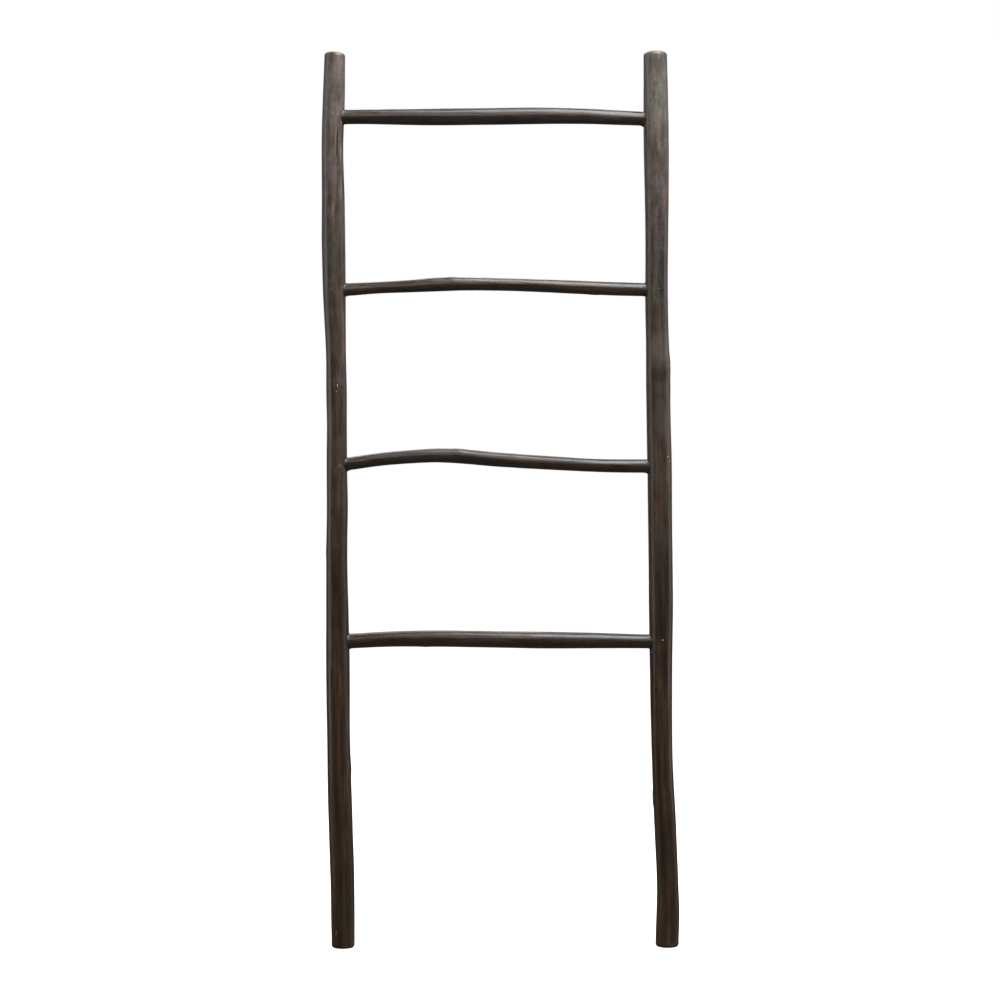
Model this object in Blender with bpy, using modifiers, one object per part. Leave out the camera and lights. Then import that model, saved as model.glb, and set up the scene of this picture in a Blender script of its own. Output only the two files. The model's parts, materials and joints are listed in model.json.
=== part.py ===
"""Blanket ladder of natural branch poles, in metres, +Z up, feet on z = 0, front towards -Y.

Two crooked pole rails stand side by side. Four thinner pole rungs run between them. Each rung end
is turned down to a round tenon, which sits in a blind socket drilled square into the rail, and one
nail driven through the front of the rail pins the tenon.
"""

import math

import bmesh
import bpy
import numpy as np
from mathutils import Vector

# Driving dimensions
LADDER_HEIGHT = 1.800
RAIL_SPACING = 0.651        # between the rails' nominal axes
TOP_RUNG_DROP = 0.1315      # from the rail tops down to the top rung
BOTTOM_RUNG_HEIGHT = 0.615  # from the floor up to the bottom rung
RAIL_DIAMETER = 0.046       # a rail's girth values are shares of this
RUNG_DIAMETER = 0.0295      # a rung's girth values are shares of this

# Joints between rungs and rails
TENON_DIAMETER = 0.024
TENON_PAST_AXIS = 0.010     # how far the tenon reaches beyond the rail's axis
SHOULDER_LENGTH = 0.012     # over which a rung grows from its tenon to its own girth
FIT_CLEARANCE = 0.0003      # between any two pieces that fit together
SOCKET_END_GAP = 0.001      # glue space at the bottom of a socket

# Nails
NAIL_DIAMETER = 0.0022
NAIL_LENGTH = 0.030
NAIL_POINT_LENGTH = 0.004
NAIL_HEAD_DIAMETER = 0.004
NAIL_HEAD_THICKNESS = 0.0010
NAIL_OFFSET = 0.004         # from the rail's axis, away from the rung
NAIL_SET = 0.0003           # how far the head lies below the rail's surface
NAIL_STRAY = {              # a nail driven off its mark: how much further out, and how far up
    "nail_bottom_right": (-0.002, 0.0036),
}

# Sawn ends of the rails
FOOT_ROUNDING = 0.006
TOP_ROUNDING = 0.006

# Mesh fineness
RAIL_RINGS = 44
RUNG_RINGS = 22
RAIL_BEVEL_RESOLUTION = 10  # gives 24 sides
RUNG_BEVEL_RESOLUTION = 8   # gives 20 sides
SOCKET_SIDES = 24
NAIL_SIDES = 12
ROUNDING_STEPS = 3
SAW_ALLOWANCE = 0.010       # extra pole beyond each saw cut
CUTTER_OVERSHOOT = 0.010    # how far a cutter stands out of the wood
WELD_DISTANCE = 0.00001

# Each rail runs up from its foot through stations of
# (share of the height, drift along X, drift along Y, girth as a share of RAIL_DIAMETER).
# top_slant is how far the saw cut at the top falls towards +X, as a share of the way across.
RAILS = {
    "rail_left": {
        "side": -1,
        "top_slant": 0.06,
        "stations": (
            (0.000, 0.0096, -0.0050, 1.01),
            (0.030, 0.0088, -0.0045, 1.05),
            (0.067, 0.0078, -0.0035, 1.06),
            (0.147, 0.0031, -0.0010, 1.06),
            (0.242, -0.0009, 0.0020, 1.015),
            (0.311, -0.0020, 0.0035, 1.04),
            (0.375, -0.0033, 0.0040, 0.985),
            (0.456, -0.0044, 0.0025, 0.92),
            (0.494, -0.0031, 0.0014, 0.93),
            (0.535, -0.0041, 0.0015, 0.90),
            (0.588, -0.0038, 0.0030, 0.87),
            (0.625, -0.0048, 0.0045, 0.90),
            (0.656, -0.0057, 0.0050, 0.875),
            (0.722, -0.0092, 0.0045, 0.99),
            (0.789, -0.0112, 0.0030, 1.037),
            (0.842, -0.0116, 0.0015, 1.00),
            (0.896, -0.0130, -0.0005, 0.945),
            (0.936, -0.0104, -0.0025, 0.965),
            (1.000, -0.0072, -0.0060, 0.895),
        ),
    },
    "rail_right": {
        "side": 1,
        "top_slant": 0.0,
        "stations": (
            (0.000, 0.0100, 0.0060, 1.01),
            (0.028, 0.0119, 0.0050, 1.03),
            (0.067, 0.0116, 0.0030, 0.955),
            (0.105, 0.0085, 0.0010, 0.955),
            (0.147, 0.0051, -0.0010, 0.975),
            (0.201, 0.0005, -0.0030, 0.925),
            (0.267, -0.0021, -0.0045, 0.955),
            (0.321, -0.0028, -0.0050, 0.985),
            (0.383, -0.0027, -0.0045, 1.06),
            (0.468, -0.0041, -0.0020, 1.055),
            (0.548, -0.0055, 0.0015, 1.08),
            (0.602, -0.0073, 0.0040, 1.063),
            (0.642, -0.0077, 0.0055, 1.085),
            (0.669, -0.0089, 0.0055, 1.03),
            (0.722, -0.0111, 0.0045, 1.007),
            (0.762, -0.0110, 0.0030, 0.99),
            (0.829, -0.0108, 0.0000, 1.037),
            (0.909, -0.0123, -0.0030, 1.10),
            (0.963, -0.0133, -0.0045, 1.06),
            (1.000, -0.0143, -0.0050, 1.025),
        ),
    },
}

# The rungs from the top down. They are evenly spaced, and height_shift moves one off its even place.
# Each runs from the left rail's face to the right rail's through stations of
# (share of the clear span, rise, drift along Y, girth as a share of RUNG_DIAMETER).
RUNGS = {
    "rung_top": {
        "height_shift": 0.0,
        "stations": (
            (0.00, 0.0020, 0.0000, 0.97),
            (0.08, 0.0025, 0.0010, 1.02),
            (0.25, 0.0025, 0.0030, 1.14),
            (0.49, 0.0037, 0.0035, 1.18),
            (0.67, 0.0046, 0.0020, 1.15),
            (0.80, 0.0033, 0.0005, 1.06),
            (0.92, 0.0000, -0.0005, 0.98),
            (1.00, -0.0020, 0.0000, 0.955),
        ),
    },
    "rung_upper": {
        "height_shift": 0.0060,
        "stations": (
            (0.00, 0.0000, 0.0000, 0.92),
            (0.08, 0.0030, -0.0010, 0.82),
            (0.24, 0.0075, -0.0045, 0.895),
            (0.32, 0.0103, -0.0060, 0.97),
            (0.38, 0.0110, -0.0065, 0.91),
            (0.50, 0.0104, -0.0045, 0.87),
            (0.66, 0.0076, -0.0010, 0.88),
            (0.77, 0.0050, 0.0010, 0.915),
            (0.88, 0.0020, 0.0010, 0.92),
            (1.00, 0.0000, 0.0000, 0.895),
        ),
    },
    "rung_lower": {
        "height_shift": 0.0035,
        "stations": (
            (0.00, 0.0020, 0.0000, 0.895),
            (0.12, 0.0124, 0.0025, 0.90),
            (0.22, 0.0175, 0.0045, 0.925),
            (0.31, 0.0200, 0.0055, 0.95),
            (0.37, 0.0182, 0.0055, 0.985),
            (0.50, 0.0114, 0.0035, 0.98),
            (0.67, 0.0047, -0.0005, 0.93),
            (0.84, -0.0008, -0.0020, 0.90),
            (1.00, -0.0020, 0.0000, 0.94),
        ),
    },
    "rung_bottom": {
        "height_shift": 0.0,
        "stations": (
            (0.00, 0.0000, 0.0000, 1.00),
            (0.07, 0.0026, -0.0005, 1.037),
            (0.15, 0.0046, -0.0015, 1.063),
            (0.27, 0.0054, -0.0030, 1.13),
            (0.50, 0.0040, -0.0040, 1.13),
            (0.63, 0.0028, -0.0030, 1.157),
            (0.79, 0.0020, -0.0015, 1.097),
            (0.95, 0.0004, 0.0000, 0.983),
            (1.00, 0.0000, 0.0000, 0.955),
        ),
    },
}

# Finishes: linear colour, roughness, metallic
RAIL_FINISH = ((0.085, 0.067, 0.056), 0.50, 0.0)
RUNG_FINISH = ((0.060, 0.047, 0.040), 0.42, 0.0)
NAIL_FINISH = ((0.120, 0.105, 0.095), 0.45, 0.8)
SHARP_RIM_ANGLE = math.radians(40)


# Scene, collections and materials

def clear_scene():
    for old in list(bpy.data.objects):
        bpy.data.objects.remove(old, do_unlink=True)


def new_collection(name):
    collection = bpy.data.collections.new(name)
    bpy.context.scene.collection.children.link(collection)
    return collection


def make_material(name, finish):
    colour, roughness, metallic = finish
    material = bpy.data.materials.new(name)
    material.use_nodes = True
    shader = material.node_tree.nodes["Principled BSDF"]
    shader.inputs["Base Color"].default_value = (*colour, 1.0)
    shader.inputs["Roughness"].default_value = roughness
    shader.inputs["Metallic"].default_value = metallic
    material.diffuse_color = (*colour, 1.0)
    return material


def add_object(name, data, collection, parent=None):
    thing = bpy.data.objects.new(name, data)
    collection.objects.link(thing)
    thing.parent = parent
    return thing


def make_cutter(thing):
    thing.hide_render = True
    thing.display_type = "WIRE"


# Where the wood runs

def smooth_between(stations, column, share):
    """The value in one column of the stations at a share, on a smooth curve through all of them."""
    shares = np.array([station[0] for station in stations])
    values = np.array([station[column] for station in stations])
    slopes = np.gradient(values, shares)
    before = int(np.clip(np.searchsorted(shares, share) - 1, 0, len(shares) - 2))
    width = shares[before + 1] - shares[before]
    t = (share - shares[before]) / width
    from_before = values[before] * (1 + 2 * t) * (1 - t) ** 2
    from_after = values[before + 1] * t ** 2 * (3 - 2 * t)
    from_slopes = slopes[before] * t * (1 - t) ** 2 + slopes[before + 1] * t ** 2 * (t - 1)
    return float(from_before + from_after + from_slopes * width)


def rail_at(rail, height):
    """(centre, radius) of a rail at a height over the floor."""
    share = height / LADDER_HEIGHT
    drift_x = smooth_between(rail["stations"], 1, share)
    drift_y = smooth_between(rail["stations"], 2, share)
    radius = smooth_between(rail["stations"], 3, share) * RAIL_DIAMETER / 2
    return Vector((rail["side"] * RAIL_SPACING / 2 + drift_x, drift_y, height)), radius


def rung_height(number, rung):
    """A rung's nominal height, with the rungs numbered from the top down."""
    top = LADDER_HEIGHT - TOP_RUNG_DROP
    pitch = (top - BOTTOM_RUNG_HEIGHT) / (len(RUNGS) - 1)
    return top - number * pitch + rung["height_shift"]


def inner_face(rail, height):
    """X of the rail's face that looks at the other rail, clear of the wood over a tenon's height."""
    faces = []
    for step in (-TENON_DIAMETER / 2, 0.0, TENON_DIAMETER / 2):
        centre, radius = rail_at(rail, height + step)
        faces.append(-rail["side"] * centre.x + radius)
    return -rail["side"] * max(faces)


def rung_joint(rail, number, rung):
    """Where a rung end meets a rail: the point on the rail's axis and the X of its inner face."""
    end = rung["stations"][0] if rail["side"] < 0 else rung["stations"][-1]
    height = rung_height(number, rung) + end[1]
    return rail_at(rail, height)[0], inner_face(rail, height)


# Poles

def pole_curve(name, points, radii, nominal_diameter, bevel_resolution, collection):
    """A round pole as a curve object, with its own radius at each point."""
    curve = bpy.data.curves.new(name, "CURVE")
    curve.dimensions = "3D"
    curve.fill_mode = "FULL"
    curve.bevel_depth = nominal_diameter / 2
    curve.bevel_resolution = bevel_resolution
    curve.use_fill_caps = True
    spline = curve.splines.new("POLY")
    spline.points.add(len(points) - 1)
    for spot, point, radius in zip(spline.points, points, radii):
        spot.co = (*point, 1.0)
        spot.radius = radius / (nominal_diameter / 2)
    return add_object(name, curve, collection)


def curve_to_mesh(pole, collection):
    """The curve as a closed mesh object at the same place, its caps welded on."""
    name = pole.name
    bpy.context.view_layer.update()
    evaluated = pole.evaluated_get(bpy.context.evaluated_depsgraph_get())
    mesh = bpy.data.meshes.new_from_object(evaluated)
    matrix = pole.matrix_world.copy()
    bpy.data.objects.remove(pole, do_unlink=True)
    thing = add_object(name, mesh, collection)
    thing.matrix_world = matrix
    body = bmesh.new()
    body.from_mesh(mesh)
    bmesh.ops.remove_doubles(body, verts=body.verts, dist=WELD_DISTANCE)
    bmesh.ops.recalc_face_normals(body, faces=body.faces)
    body.to_mesh(mesh)
    body.free()
    return thing


def saw_off(mesh, spot, normal, rounding):
    """Cuts away a pole's end beyond a plane, closes the cut and rounds its rim."""
    body = bmesh.new()
    body.from_mesh(mesh)
    everything = body.verts[:] + body.edges[:] + body.faces[:]
    bmesh.ops.bisect_plane(body, geom=everything, plane_co=spot, plane_no=normal, clear_outer=True)
    rim = [edge for edge in body.edges if edge.is_boundary]
    bmesh.ops.edgeloop_fill(body, edges=rim)
    bmesh.ops.bevel(
        body, geom=rim, offset=rounding, segments=ROUNDING_STEPS, profile=0.5, affect="EDGES"
    )
    bmesh.ops.recalc_face_normals(body, faces=body.faces)
    body.to_mesh(mesh)
    body.free()


def make_rail(name, rail, collection):
    heights = np.linspace(-SAW_ALLOWANCE, LADDER_HEIGHT + SAW_ALLOWANCE, RAIL_RINGS)
    spots = [rail_at(rail, float(height)) for height in heights]
    base = Vector((rail["side"] * RAIL_SPACING / 2, 0, 0))
    points = [centre - base for centre, radius in spots]
    radii = [radius for centre, radius in spots]
    curve = pole_curve(name, points, radii, RAIL_DIAMETER, RAIL_BEVEL_RESOLUTION, collection)
    curve.location = base
    pole = curve_to_mesh(curve, collection)
    top, top_radius = rail_at(rail, LADDER_HEIGHT)
    highest = top - base - Vector((top_radius, 0, 0))
    saw_off(pole.data, Vector((0, 0, 0)), Vector((0, 0, -1)), FOOT_ROUNDING)
    saw_off(pole.data, highest, Vector((rail["top_slant"], 0, 1)).normalized(), TOP_ROUNDING)
    return pole


def make_rung(name, number, rung, collection):
    """A rung from tenon tip to tenon tip, placed at its nominal height."""
    stations = rung["stations"]
    left, left_face = rung_joint(RAILS["rail_left"], number, rung)
    right, right_face = rung_joint(RAILS["rail_right"], number, rung)
    start, stop = left_face + FIT_CLEARANCE, right_face - FIT_CLEARANCE
    tenon_radius = TENON_DIAMETER / 2
    base = Vector((0, 0, rung_height(number, rung)))
    points = [Vector((left.x - TENON_PAST_AXIS, left.y, left.z))]
    radii = [tenon_radius]
    shoulder_share = SHOULDER_LENGTH / (stop - start)
    for share in [0.0, *np.linspace(shoulder_share, 1 - shoulder_share, RUNG_RINGS), 1.0]:
        depth = left.y + (right.y - left.y) * share + smooth_between(stations, 2, share)
        rise = smooth_between(stations, 1, share)
        own_radius = smooth_between(stations, 3, share) * RUNG_DIAMETER / 2
        at_mouth = share in (0.0, 1.0)
        points.append(Vector((start + (stop - start) * share, depth, base.z + rise)))
        radii.append(tenon_radius if at_mouth else own_radius)
    points.append(Vector((right.x + TENON_PAST_AXIS, right.y, right.z)))
    radii.append(tenon_radius)
    points = [point - base for point in points]
    curve = pole_curve(name, points, radii, RUNG_DIAMETER, RUNG_BEVEL_RESOLUTION, collection)
    curve.location = base
    return curve_to_mesh(curve, collection)


# Nails, sockets and their holes

def turned_profile(name, profile, collection):
    """A shape turned round its own Z axis from a profile of (radius, distance along Z)."""
    mesh = bpy.data.meshes.new(name)
    corners = [(radius, 0.0, along) for radius, along in profile]
    edges = [(index, index + 1) for index in range(len(corners) - 1)]
    mesh.from_pydata(corners, edges, [])
    thing = add_object(name, mesh, collection)
    turn = thing.modifiers.new("turn", "SCREW")
    turn.axis = "Z"
    turn.angle = math.tau
    turn.steps = NAIL_SIDES
    turn.render_steps = NAIL_SIDES
    turn.use_merge_vertices = True
    turn.merge_threshold = WELD_DISTANCE
    turn.use_normal_flip = True
    return thing


def nail_profile():
    """A nail from its flat head to its point."""
    return (
        (0.0, 0.0),
        (NAIL_HEAD_DIAMETER / 2, 0.0),
        (NAIL_HEAD_DIAMETER / 2, NAIL_HEAD_THICKNESS),
        (NAIL_DIAMETER / 2, NAIL_HEAD_THICKNESS),
        (NAIL_DIAMETER / 2, NAIL_LENGTH - NAIL_POINT_LENGTH),
        (0.0, NAIL_LENGTH),
    )


def nail_hole_profile():
    """The hole of a nail: a sunk seat for the head, and a pilot hole down to a drill point."""
    head = NAIL_HEAD_DIAMETER / 2 + FIT_CLEARANCE
    shank = NAIL_DIAMETER / 2 + FIT_CLEARANCE
    seat = NAIL_HEAD_THICKNESS + FIT_CLEARANCE
    return (
        (0.0, -CUTTER_OVERSHOOT),
        (head, -CUTTER_OVERSHOOT),
        (head, seat),
        (shank, seat),
        (shank, NAIL_LENGTH),
        (0.0, NAIL_LENGTH + shank),
    )


def nail_place(name, rail, axis_point):
    """Centre of the nail's head: on the rail's front, NAIL_OFFSET outwards of its axis."""
    further_out, further_up = NAIL_STRAY.get(name, (0.0, 0.0))
    offset = NAIL_OFFSET + further_out
    middle, radius = rail_at(rail, axis_point.z + further_up)
    front = math.sqrt(radius ** 2 - offset ** 2)
    return Vector((middle.x + rail["side"] * offset, middle.y - front + NAIL_SET, middle.z))


def make_socket_cutter(name, rail, axis_point, face, collection):
    """The drill's shape: from outside the rail's inner face to the bottom of the blind socket."""
    bottom = axis_point.x + rail["side"] * (TENON_PAST_AXIS + SOCKET_END_GAP)
    mouth = face - rail["side"] * CUTTER_OVERSHOOT
    bpy.ops.mesh.primitive_cylinder_add(
        vertices=SOCKET_SIDES,
        radius=TENON_DIAMETER / 2 + FIT_CLEARANCE,
        depth=abs(bottom - mouth),
        location=((bottom + mouth) / 2, axis_point.y, axis_point.z),
        rotation=(0.0, math.pi / 2, 0.0),
    )
    cutter = bpy.context.active_object
    cutter.name = name
    for holder in list(cutter.users_collection):
        holder.objects.unlink(cutter)
    collection.objects.link(cutter)
    make_cutter(cutter)
    return cutter


def cut(target, cutter):
    """Takes the cutter's shape out of the target."""
    drill = target.modifiers.new(cutter.name, "BOOLEAN")
    drill.operation = "DIFFERENCE"
    drill.solver = "EXACT"
    drill.object = cutter


def finish_part(thing, material, parent):
    """Gives a part its material, smooth round faces with sharp rims, and its parent."""
    thing.data.materials.clear()
    thing.data.materials.append(material)
    thing.data.shade_smooth()
    thing.data.set_sharp_from_angle(angle=SHARP_RIM_ANGLE)
    thing.parent = parent


def build():
    clear_scene()
    parts = new_collection("branch_ladder")
    cutters = new_collection("branch_ladder_cutters")
    ladder = add_object("branch_ladder_origin", None, parts)

    rails = {name: make_rail(name, rail, parts) for name, rail in RAILS.items()}
    for number, (rung_name, rung) in enumerate(RUNGS.items()):
        pole = make_rung(rung_name, number, rung, parts)
        for rail_name, rail in RAILS.items():
            axis_point, face = rung_joint(rail, number, rung)
            ending = rung_name.replace("rung", "") + rail_name.replace("rail", "")
            socket = make_socket_cutter("socket" + ending, rail, axis_point, face, cutters)
            nail = turned_profile("nail" + ending, nail_profile(), parts)
            hole = turned_profile("nail_hole" + ending, nail_hole_profile(), cutters)
            make_cutter(hole)
            for turned in (nail, hole):
                turned.location = nail_place("nail" + ending, rail, axis_point)
                turned.rotation_euler = (-math.pi / 2, 0.0, 0.0)
            cut(rails[rail_name], socket)
            cut(rails[rail_name], hole)
            cut(pole, hole)
            finish_part(nail, make_material(nail.name + "_steel", NAIL_FINISH), ladder)
        finish_part(pole, make_material(rung_name + "_wood", RUNG_FINISH), ladder)
    for rail_name, rail_object in rails.items():
        finish_part(rail_object, make_material(rail_name + "_wood", RAIL_FINISH), ladder)


build()
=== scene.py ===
# %% [markdown]
# # A blanket ladder of branch poles
#
# This lesson dresses a finished technical model of a rustic blanket ladder: two crooked rails,
# four thinner rungs, and a nail through each joint. The technical model is the fixed frame. It
# says where each piece is and how thick it is, and it never moves. The new pieces lie on it and
# add what the eye looks for: round, slightly lumpy branches, knots, sawn ends, filled joints, and
# dark stained wood.

# %% Load the fixed frame
import json
import math

import bpy
import numpy as np
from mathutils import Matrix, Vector

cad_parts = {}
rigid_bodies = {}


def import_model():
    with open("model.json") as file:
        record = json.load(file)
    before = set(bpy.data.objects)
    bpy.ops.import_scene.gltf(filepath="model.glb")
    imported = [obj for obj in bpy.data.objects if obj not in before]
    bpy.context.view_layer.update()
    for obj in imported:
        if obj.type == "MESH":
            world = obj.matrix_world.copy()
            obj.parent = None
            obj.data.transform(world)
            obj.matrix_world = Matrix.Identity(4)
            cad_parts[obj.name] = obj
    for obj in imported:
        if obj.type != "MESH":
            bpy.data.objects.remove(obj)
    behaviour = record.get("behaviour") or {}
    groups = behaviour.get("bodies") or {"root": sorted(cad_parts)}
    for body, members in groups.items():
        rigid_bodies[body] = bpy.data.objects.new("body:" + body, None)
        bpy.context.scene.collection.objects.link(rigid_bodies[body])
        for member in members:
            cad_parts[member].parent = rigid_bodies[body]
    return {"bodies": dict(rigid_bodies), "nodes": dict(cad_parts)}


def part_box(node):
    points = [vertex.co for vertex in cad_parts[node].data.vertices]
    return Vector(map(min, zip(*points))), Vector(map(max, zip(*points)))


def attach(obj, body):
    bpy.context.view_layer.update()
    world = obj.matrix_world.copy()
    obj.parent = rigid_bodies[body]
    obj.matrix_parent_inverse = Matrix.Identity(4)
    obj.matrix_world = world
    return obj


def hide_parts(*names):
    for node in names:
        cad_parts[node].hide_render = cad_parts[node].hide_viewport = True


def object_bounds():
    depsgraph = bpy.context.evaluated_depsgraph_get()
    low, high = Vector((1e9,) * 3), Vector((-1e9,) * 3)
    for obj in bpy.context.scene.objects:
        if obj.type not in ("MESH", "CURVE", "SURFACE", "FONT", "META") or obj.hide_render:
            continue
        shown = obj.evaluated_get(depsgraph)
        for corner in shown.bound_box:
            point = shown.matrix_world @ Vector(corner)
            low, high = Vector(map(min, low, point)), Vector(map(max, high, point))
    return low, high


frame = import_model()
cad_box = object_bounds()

box_size = [round(high - low, 4) for low, high in zip(*cad_box)]
print("frame:", len(frame["nodes"]), "nodes,", box_size, "m")

# %% [markdown]
# ## The view
#
# A ladder is best shown flat on, from its own middle height, so that both rails stay upright in
# the picture. A long lens from 4.5 m keeps the poles from looking wider at one end. The lens
# follows from how much width the picture has to hold at the ladder's distance.

# %% Camera
VIEW_DISTANCE = 4.5
VIEW_HEIGHT = 0.8995
VIEW_ACROSS = -0.001
PICTURE_WIDTH = 2.0135

bpy.context.scene.view_settings.view_transform = "Standard"
bpy.ops.object.camera_add(
    location=(VIEW_ACROSS, -VIEW_DISTANCE, VIEW_HEIGHT), rotation=(math.pi / 2, 0, 0)
)
camera = bpy.context.active_object
camera.data.lens = camera.data.sensor_width * VIEW_DISTANCE / PICTURE_WIDTH
bpy.context.scene.camera = camera
print("lens:", round(camera.data.lens, 2), "mm")

# %% [markdown]
# ## Measuring a pole
#
# Each new pole has to lie where its technical solid does. A plane laid across that solid cuts its
# edges in points on a circle, and the circle's middle and radius are what the new pole needs
# there. Holes for tenons and nails spoil some of those points, so points that lie well inside the
# circle are dropped and the circle is laid through the others again.

# %% Read the middle and the radius of a pole at one place
INSIDE_SHARE = 0.94
OUTLINE_PERCENT = 80
FITTING_ROUNDS = 5


def edges_of(node):
    """Both ends of every edge of a technical solid."""
    mesh = frame["nodes"][node].data
    corners = np.array([vertex.co for vertex in mesh.vertices])
    return corners[np.array([edge.vertices[:] for edge in mesh.edges])]


def circle_through(points):
    """Middle and radius of the circle that fits flat points best."""
    left = np.column_stack((2 * points, np.ones(len(points))))
    answer = np.linalg.lstsq(left, (points ** 2).sum(1), rcond=None)[0]
    return answer[:2], math.sqrt(answer[2] + (answer[:2] ** 2).sum())


def measure_at(edges, axis, place):
    """(middle, radius) of the solid across one axis at a place, with holes left out."""
    ends = edges[:, :, axis] - place
    crossing = edges[ends[:, 0] * ends[:, 1] < 0]
    ends = crossing[:, :, axis] - place
    share = (ends[:, 0] / (ends[:, 0] - ends[:, 1]))[:, None]
    points = crossing[:, 0] + share * (crossing[:, 1] - crossing[:, 0])
    flat = np.delete(points, axis, axis=1)
    middle, radius = circle_through(flat)
    for _ in range(FITTING_ROUNDS):
        reach = np.linalg.norm(flat - middle, axis=1)
        flat = flat[reach > INSIDE_SHARE * np.percentile(reach, OUTLINE_PERCENT)]
        middle, radius = circle_through(flat)
    return (*middle, radius)

# %% Name the poles and measure one
RAILS = ("rail_left", "rail_right")
RUNGS = ("rung_top", "rung_upper", "rung_lower", "rung_bottom")
UPRIGHT, ACROSS = 2, 0
AXIS = {name: UPRIGHT for name in RAILS} | {name: ACROSS for name in RUNGS}


def measure_pole(name, places):
    """The pole's middle line and radius as a table: place, two middle numbers, radius."""
    edges = edges_of(name)
    return np.array([(place, *measure_at(edges, AXIS[name], place)) for place in places])


def smooth_read(table, places):
    """The table's numbers at other places, on a smooth curve through its rows."""
    rows, values = table[:, 0], table[:, 1:]
    slopes = np.gradient(values, rows, axis=0)
    before = np.clip(np.searchsorted(rows, places) - 1, 0, len(rows) - 2)
    width = (rows[before + 1] - rows[before])[:, None]
    t = (np.asarray(places)[:, None] - rows[before][:, None]) / width
    t = np.clip(t, 0, 1)
    from_before = values[before] * (1 + 2 * t) * (1 - t) ** 2
    from_after = values[before + 1] * t ** 2 * (3 - 2 * t)
    bend = slopes[before] * t * (1 - t) ** 2 + slopes[before + 1] * t ** 2 * (t - 1)
    return from_before + from_after + bend * width

# %% Measure the rails
HEIGHT = cad_box[1].z
ROUNDED_END = 0.012
RAIL_SLICES = 60
INSIDE_TENON = 0.004
RAIL_PLACES = np.linspace(ROUNDED_END, HEIGHT - ROUNDED_END, RAIL_SLICES)

joint_height = {}
for rung in RUNGS:
    low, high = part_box(rung)
    rung_edges = edges_of(rung)
    joint_height[rung] = {
        "rail_left": measure_at(rung_edges, ACROSS, low.x + INSIDE_TENON)[1],
        "rail_right": measure_at(rung_edges, ACROSS, high.x - INSIDE_TENON)[1],
    }

SOCKET_CLEARANCE = 0.016
lines = {}
for rail in RAILS:
    heights = [joint_height[rung][rail] for rung in RUNGS]
    clear = [z for z in RAIL_PLACES if min(abs(z - h) for h in heights) > SOCKET_CLEARANCE]
    lines[rail] = measure_pole(rail, clear)
    print(rail, len(clear), "slices, radius", lines[rail][:, 3].min().round(4),
          "to", lines[rail][:, 3].max().round(4))

# %% [markdown]
# ## A branch from rings
#
# A peeled branch is a tube that bends a little and changes its girth all the way up. It is made
# here as it would be by hand: one ring of points, extruded again and again, and moved and widened
# each time to the measured middle line. The rings are a thumb's width apart, and Subdivision
# Surface turns them into a smooth skin. It also draws a ring in slightly, so each ring starts
# that much wider.

# %% Select one thing, and apply a modifier
def only(thing):
    """Leaves one object selected and active, in object mode."""
    if bpy.context.object and bpy.context.object.mode != "OBJECT":
        bpy.ops.object.mode_set(mode="OBJECT")
    bpy.ops.object.select_all(action="DESELECT")
    thing.select_set(True)
    bpy.context.view_layer.objects.active = thing
    return thing


def apply_modifier(thing, kind, **settings):
    """Adds a modifier with these settings and applies it."""
    only(thing)
    modifier = thing.modifiers.new(kind.lower(), kind)
    for name, value in settings.items():
        setattr(modifier, name, value)
    bpy.ops.object.modifier_apply(modifier=modifier.name)


def smooth_skin(thing, levels):
    """Rounds a mesh off with Subdivision Surface."""
    apply_modifier(thing, "SUBSURF", levels=levels, render_levels=levels)


def pick(thing, mask, kind="vertices"):
    """Goes to edit mode with just these vertices, edges or faces selected."""
    only(thing)
    mesh = thing.data
    for part in (mesh.polygons, mesh.edges, mesh.vertices):
        part.foreach_set("select", np.zeros(len(part), bool))
    getattr(mesh, kind).foreach_set("select", np.asarray(mask, bool))
    modes = {"vertices": "VERT", "edges": "EDGE", "polygons": "FACE"}
    bpy.ops.object.mode_set(mode="EDIT")
    bpy.ops.mesh.select_mode(type=modes[kind])


def spots_of(thing):
    """All corner points of a mesh as an array."""
    corners = np.empty(len(thing.data.vertices) * 3, np.float32)
    thing.data.vertices.foreach_get("co", corners)
    return corners.reshape(-1, 3).astype(float)

# %% Grow a tube along measured spots
RAIL_SIDES, RUNG_SIDES = 32, 24
RAIL_STEP, RUNG_STEP = 0.012, 0.010


def at_axis(axis, place, first, second):
    """A point from its place along one axis and its two other numbers, in order."""
    point = [first, second]
    point.insert(axis, place)
    return Vector(point)


def grow_tube(name, axis, sides, rings):
    """An open tube through rings of (place along the axis, two middle numbers, radius)."""
    wider = 6 / (4 + 2 * math.cos(math.tau / sides))
    turn = (0, 0, 0) if axis == UPRIGHT else (0, math.pi / 2, 0)
    place, first, second, radius = rings[0]
    middle = at_axis(axis, place, first, second)
    bpy.ops.object.select_all(action="DESELECT")
    bpy.ops.mesh.primitive_circle_add(
        vertices=sides, radius=radius * wider, fill_type="NOTHING", location=middle, rotation=turn
    )
    tube = bpy.context.active_object
    tube.name = tube.data.name = name
    bpy.ops.object.transform_apply(location=True, rotation=True, scale=True)
    pick(tube, np.ones(sides))
    for place, first, second, next_radius in rings[1:]:
        spot = at_axis(axis, place, first, second)
        bpy.ops.mesh.extrude_region_move(TRANSFORM_OT_translate={"value": spot - middle})
        size = [next_radius / radius] * 3
        size[axis] = 1
        bpy.ops.transform.resize(value=size, center_override=spot)
        middle, radius = spot, next_radius
    bpy.ops.mesh.select_all(action="SELECT")
    bpy.ops.mesh.normals_make_consistent(inside=False)
    bpy.ops.object.mode_set(mode="OBJECT")
    return tube


def rings_along(table, places):
    """The table read at these places, as rings for grow_tube."""
    return np.column_stack((places, smooth_read(table, places)))

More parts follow.
